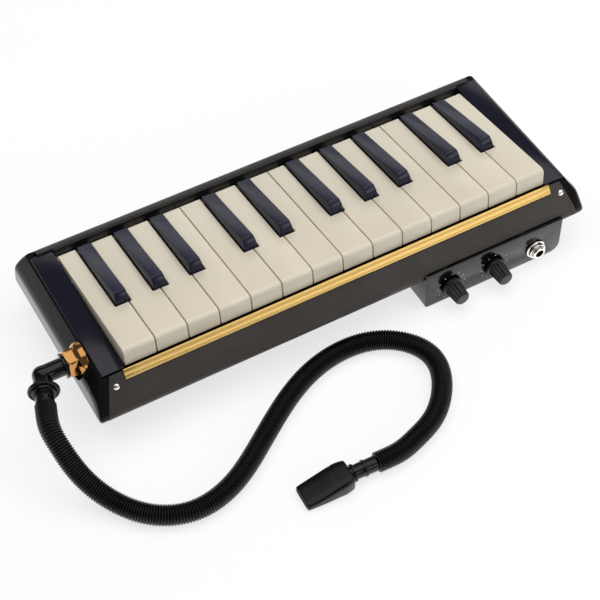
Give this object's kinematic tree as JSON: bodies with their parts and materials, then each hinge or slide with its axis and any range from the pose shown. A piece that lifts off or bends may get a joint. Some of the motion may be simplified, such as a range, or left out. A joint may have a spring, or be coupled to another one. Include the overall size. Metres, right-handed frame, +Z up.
{
  "type": "bass melodica",
  "caption": "Keyed wind instrument: rocking piano keys over a reed chest, a blowing hose with mouthpiece, and a pickup box with two knobs and a jack.",
  "frame": {"origin": "on the table under the middle of the box that the instrument fills without its elbow, hose, connector and mouthpiece", "axes": "+X runs along the keyboard toward the high keys, +Y toward the back, +Z up"},
  "size_m": [0.4089, 0.2441, 0.0687],
  "materials": {
    "ivory_key": "cream, softly pearled, glossy",
    "ebony_key": "black with a blue sheen, glossy",
    "leatherette": "fine-grained dark grey leatherette",
    "gloss_black": "glossy brown-black",
    "navy_gloss": "glossy navy-black",
    "gilt": "polished gilt",
    "copper_gold": "polished warm gold",
    "rail_black": "satin black",
    "frame_plastic": "dark grey, moulded",
    "chest_plastic": "grey, moulded",
    "felt": "red felt",
    "reed_brass": "satin brass",
    "spring_steel": "bright",
    "hose_rubber": "black, ribbed, satin",
    "fitting_black": "black, semi-gloss",
    "panel_black": "dark grey, glossy paint",
    "knob_black": "matt black, fluted",
    "nickel": "nickel plate",
    "board_green": "green lacquer",
    "foot_rubber": "matt black"
  },
  "bodies": {
    "instrument": {"front_cover": "leatherette", "rear_cover": "leatherette", "bottom_cover": "leatherette", "left_end_cap": "gloss_black", "right_end_cap": "gloss_black", "left_cheek": "navy_gloss", "right_cheek": "navy_gloss", "trim_bar": "gilt", "rear_rail": "rail_black", "chassis": "frame_plastic", "front_felt": "felt", "wind_chest": "chest_plastic", "chest_lid": "chest_plastic", "reed_plate_low": "reed_brass", "reed_plate_high": "reed_brass", "pivot_rail": "chest_plastic", "key_shaft": "spring_steel", "key_springs": "spring_steel", "side_duct": "chest_plastic", "socket_nut": "copper_gold", "control_box": "panel_black", "volume_pot": "nickel", "balance_pot": "nickel", "jack": "nickel", "jack_nut": "nickel", "circuit_board": "board_green", "front_foot": "foot_rubber", "rear_foot": "foot_rubber"},
    "key_01_f": {"key_01_f": "ivory_key"},
    "key_02_f_sharp": {"key_02_f_sharp": "ebony_key"},
    "key_03_g": {"key_03_g": "ivory_key"},
    "key_04_g_sharp": {"key_04_g_sharp": "ebony_key"},
    "key_05_a": {"key_05_a": "ivory_key"},
    "key_06_a_sharp": {"key_06_a_sharp": "ebony_key"},
    "key_07_b": {"key_07_b": "ivory_key"},
    "key_08_c": {"key_08_c": "ivory_key"},
    "key_09_c_sharp": {"key_09_c_sharp": "ebony_key"},
    "key_10_d": {"key_10_d": "ivory_key"},
    "key_11_d_sharp": {"key_11_d_sharp": "ebony_key"},
    "key_12_e": {"key_12_e": "ivory_key"},
    "key_13_f": {"key_13_f": "ivory_key"},
    "key_14_f_sharp": {"key_14_f_sharp": "ebony_key"},
    "key_15_g": {"key_15_g": "ivory_key"},
    "key_16_g_sharp": {"key_16_g_sharp": "ebony_key"},
    "key_17_a": {"key_17_a": "ivory_key"},
    "key_18_a_sharp": {"key_18_a_sharp": "ebony_key"},
    "key_19_b": {"key_19_b": "ivory_key"},
    "key_20_c": {"key_20_c": "ivory_key"},
    "key_21_c_sharp": {"key_21_c_sharp": "ebony_key"},
    "key_22_d": {"key_22_d": "ivory_key"},
    "key_23_d_sharp": {"key_23_d_sharp": "ebony_key"},
    "key_24_e": {"key_24_e": "ivory_key"},
    "volume_knob": {"volume_knob": "knob_black"},
    "balance_knob": {"balance_knob": "knob_black"},
    "drain_button": {"drain_button": "fitting_black"},
    "blowing_hose": {"elbow": "fitting_black", "hose_collar": "fitting_black", "hose": "hose_rubber", "hose_connector": "fitting_black", "mouthpiece": "fitting_black"}
  },
  "joints": [
    {"name": "key_01_f_press", "type": "hinge", "parent": "instrument", "child": "key_01_f", "pos_m": [0.0012, 0.04019, 0.04562], "axis": [1, 0, 0], "range_deg": [0, 3.3], "stiffness_Nm_per_rad": 0.6, "springref_deg": -2.86, "deforming": ["key_springs"]},
    {"name": "key_02_f_sharp_press", "type": "hinge", "parent": "instrument", "child": "key_02_f_sharp", "pos_m": [0.0012, 0.04019, 0.04562], "axis": [1, 0, 0], "range_deg": [0, 3.3], "stiffness_Nm_per_rad": 0.6, "springref_deg": -2.86, "deforming": ["key_springs"]},
    {"name": "key_03_g_press", "type": "hinge", "parent": "instrument", "child": "key_03_g", "pos_m": [0.0012, 0.04019, 0.04562], "axis": [1, 0, 0], "range_deg": [0, 3.3], "stiffness_Nm_per_rad": 0.6, "springref_deg": -2.86, "deforming": ["key_springs"]},
    {"name": "key_04_g_sharp_press", "type": "hinge", "parent": "instrument", "child": "key_04_g_sharp", "pos_m": [0.0012, 0.04019, 0.04562], "axis": [1, 0, 0], "range_deg": [0, 3.3], "stiffness_Nm_per_rad": 0.6, "springref_deg": -2.86, "deforming": ["key_springs"]},
    {"name": "key_05_a_press", "type": "hinge", "parent": "instrument", "child": "key_05_a", "pos_m": [0.0012, 0.04019, 0.04562], "axis": [1, 0, 0], "range_deg": [0, 3.3], "stiffness_Nm_per_rad": 0.6, "springref_deg": -2.86, "deforming": ["key_springs"]},
    {"name": "key_06_a_sharp_press", "type": "hinge", "parent": "instrument", "child": "key_06_a_sharp", "pos_m": [0.0012, 0.04019, 0.04562], "axis": [1, 0, 0], "range_deg": [0, 3.3], "stiffness_Nm_per_rad": 0.6, "springref_deg": -2.86, "deforming": ["key_springs"]},
    {"name": "key_07_b_press", "type": "hinge", "parent": "instrument", "child": "key_07_b", "pos_m": [0.0012, 0.04019, 0.04562], "axis": [1, 0, 0], "range_deg": [0, 3.3], "stiffness_Nm_per_rad": 0.6, "springref_deg": -2.86, "deforming": ["key_springs"]},
    {"name": "key_08_c_press", "type": "hinge", "parent": "instrument", "child": "key_08_c", "pos_m": [0.0012, 0.04019, 0.04562], "axis": [1, 0, 0], "range_deg": [0, 3.3], "stiffness_Nm_per_rad": 0.6, "springref_deg": -2.86, "deforming": ["key_springs"]},
    {"name": "key_09_c_sharp_press", "type": "hinge", "parent": "instrument", "child": "key_09_c_sharp", "pos_m": [0.0012, 0.04019, 0.04562], "axis": [1, 0, 0], "range_deg": [0, 3.3], "stiffness_Nm_per_rad": 0.6, "springref_deg": -2.86, "deforming": ["key_springs"]},
    {"name": "key_10_d_press", "type": "hinge", "parent": "instrument", "child": "key_10_d", "pos_m": [0.0012, 0.04019, 0.04562], "axis": [1, 0, 0], "range_deg": [0, 3.3], "stiffness_Nm_per_rad": 0.6, "springref_deg": -2.86, "deforming": ["key_springs"]},
    {"name": "key_11_d_sharp_press", "type": "hinge", "parent": "instrument", "child": "key_11_d_sharp", "pos_m": [0.0012, 0.04019, 0.04562], "axis": [1, 0, 0], "range_deg": [0, 3.3], "stiffness_Nm_per_rad": 0.6, "springref_deg": -2.86, "deforming": ["key_springs"]},
    {"name": "key_12_e_press", "type": "hinge", "parent": "instrument", "child": "key_12_e", "pos_m": [0.0012, 0.04019, 0.04562], "axis": [1, 0, 0], "range_deg": [0, 3.3], "stiffness_Nm_per_rad": 0.6, "springref_deg": -2.86, "deforming": ["key_springs"]},
    {"name": "key_13_f_press", "type": "hinge", "parent": "instrument", "child": "key_13_f", "pos_m": [0.0012, 0.04019, 0.04562], "axis": [1, 0, 0], "range_deg": [0, 3.3], "stiffness_Nm_per_rad": 0.6, "springref_deg": -2.86, "deforming": ["key_springs"]},
    {"name": "key_14_f_sharp_press", "type": "hinge", "parent": "instrument", "child": "key_14_f_sharp", "pos_m": [0.0012, 0.04019, 0.04562], "axis": [1, 0, 0], "range_deg": [0, 3.3], "stiffness_Nm_per_rad": 0.6, "springref_deg": -2.86, "deforming": ["key_springs"]},
    {"name": "key_15_g_press", "type": "hinge", "parent": "instrument", "child": "key_15_g", "pos_m": [0.0012, 0.04019, 0.04562], "axis": [1, 0, 0], "range_deg": [0, 3.3], "stiffness_Nm_per_rad": 0.6, "springref_deg": -2.86, "deforming": ["key_springs"]},
    {"name": "key_16_g_sharp_press", "type": "hinge", "parent": "instrument", "child": "key_16_g_sharp", "pos_m": [0.0012, 0.04019, 0.04562], "axis": [1, 0, 0], "range_deg": [0, 3.3], "stiffness_Nm_per_rad": 0.6, "springref_deg": -2.86, "deforming": ["key_springs"]},
    {"name": "key_17_a_press", "type": "hinge", "parent": "instrument", "child": "key_17_a", "pos_m": [0.0012, 0.04019, 0.04562], "axis": [1, 0, 0], "range_deg": [0, 3.3], "stiffness_Nm_per_rad": 0.6, "springref_deg": -2.86, "deforming": ["key_springs"]},
    {"name": "key_18_a_sharp_press", "type": "hinge", "parent": "instrument", "child": "key_18_a_sharp", "pos_m": [0.0012, 0.04019, 0.04562], "axis": [1, 0, 0], "range_deg": [0, 3.3], "stiffness_Nm_per_rad": 0.6, "springref_deg": -2.86, "deforming": ["key_springs"]},
    {"name": "key_19_b_press", "type": "hinge", "parent": "instrument", "child": "key_19_b", "pos_m": [0.0012, 0.04019, 0.04562], "axis": [1, 0, 0], "range_deg": [0, 3.3], "stiffness_Nm_per_rad": 0.6, "springref_deg": -2.86, "deforming": ["key_springs"]},
    {"name": "key_20_c_press", "type": "hinge", "parent": "instrument", "child": "key_20_c", "pos_m": [0.0012, 0.04019, 0.04562], "axis": [1, 0, 0], "range_deg": [0, 3.3], "stiffness_Nm_per_rad": 0.6, "springref_deg": -2.86, "deforming": ["key_springs"]},
    {"name": "key_21_c_sharp_press", "type": "hinge", "parent": "instrument", "child": "key_21_c_sharp", "pos_m": [0.0012, 0.04019, 0.04562], "axis": [1, 0, 0], "range_deg": [0, 3.3], "stiffness_Nm_per_rad": 0.6, "springref_deg": -2.86, "deforming": ["key_springs"]},
    {"name": "key_22_d_press", "type": "hinge", "parent": "instrument", "child": "key_22_d", "pos_m": [0.0012, 0.04019, 0.04562], "axis": [1, 0, 0], "range_deg": [0, 3.3], "stiffness_Nm_per_rad": 0.6, "springref_deg": -2.86, "deforming": ["key_springs"]},
    {"name": "key_23_d_sharp_press", "type": "hinge", "parent": "instrument", "child": "key_23_d_sharp", "pos_m": [0.0012, 0.04019, 0.04562], "axis": [1, 0, 0], "range_deg": [0, 3.3], "stiffness_Nm_per_rad": 0.6, "springref_deg": -2.86, "deforming": ["key_springs"]},
    {"name": "key_24_e_press", "type": "hinge", "parent": "instrument", "child": "key_24_e", "pos_m": [0.0012, 0.04019, 0.04562], "axis": [1, 0, 0], "range_deg": [0, 3.3], "stiffness_Nm_per_rad": 0.6, "springref_deg": -2.86, "deforming": ["key_springs"]},
    {"name": "volume_knob_turn", "type": "hinge", "parent": "instrument", "child": "volume_knob", "pos_m": [0.0762, -0.06265, 0.0133], "axis": [0, 1, 0], "range_deg": [-150, 150]},
    {"name": "balance_knob_turn", "type": "hinge", "parent": "instrument", "child": "balance_knob", "pos_m": [0.1112, -0.06265, 0.0133], "axis": [0, 1, 0], "range_deg": [-150, 150]},
    {"name": "drain_button_push", "type": "slide", "parent": "instrument", "child": "drain_button", "axis": [-1, 0, 0], "range_m": [0, 0.0025], "stiffness_N_per_m": 400, "springref_m": -0.002},
    {"name": "elbow_swivel", "type": "hinge", "parent": "instrument", "child": "blowing_hose", "pos_m": [-0.1788, -0.01965, 0.045], "axis": [-1, 0, 0], "range_deg": [0, 90]}
  ]
}
